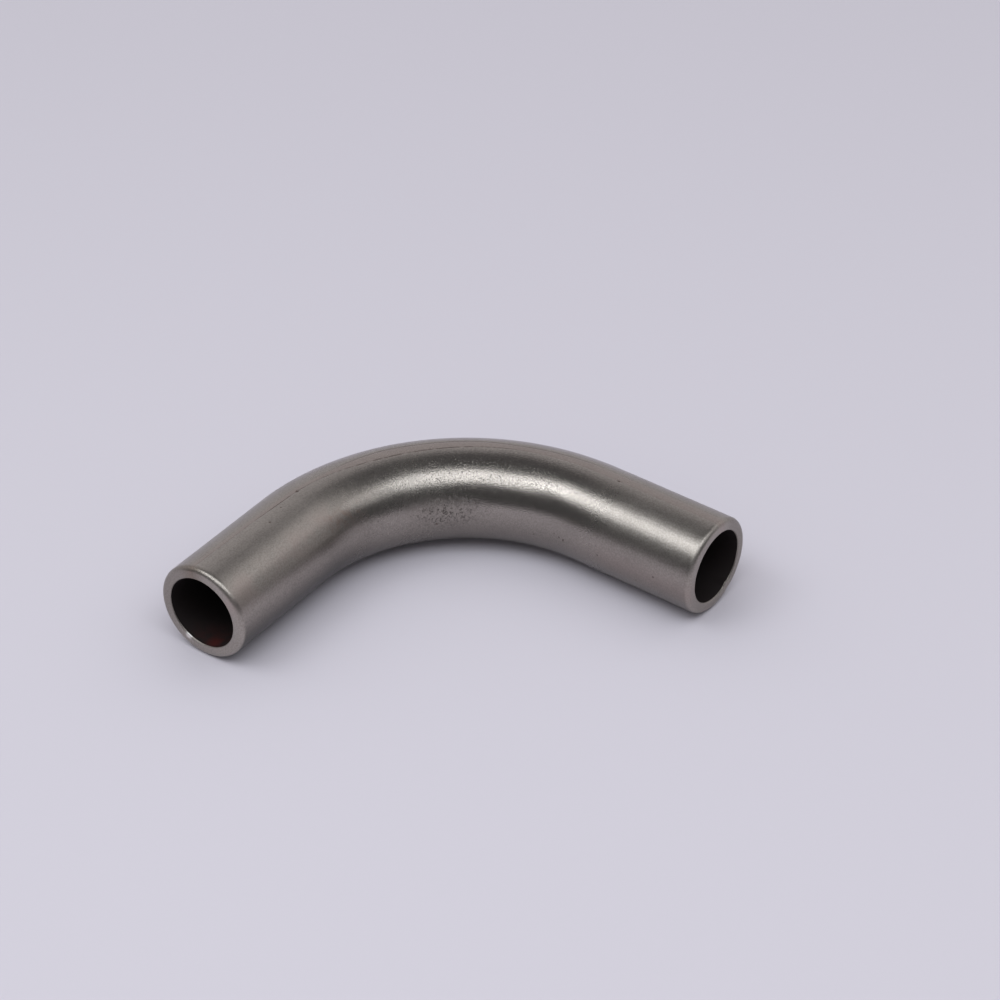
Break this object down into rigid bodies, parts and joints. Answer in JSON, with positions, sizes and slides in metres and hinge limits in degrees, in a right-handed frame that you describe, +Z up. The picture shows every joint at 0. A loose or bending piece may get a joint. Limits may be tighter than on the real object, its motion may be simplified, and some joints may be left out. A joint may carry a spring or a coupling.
{
  "type": "pipe bend",
  "caption": "Round steel tube bent through a right angle, with a straight length and a square-cut, dressed open end on each side.",
  "frame": {"origin": "on the ground under the middle of the bounding box, with the bend lying flat", "axes": "+Z up, square to the plane of the bend; one straight end opens towards -Y and the other towards +X"},
  "size_m": [0.0856, 0.0856, 0.0213],
  "materials": {
    "tube_steel": "satin ground steel, warm grey, speckled with fine pits, with a film of rust inside the bore"
  },
  "bodies": {
    "root": {"pipe_bend": "tube_steel"}
  },
  "joints": []
}
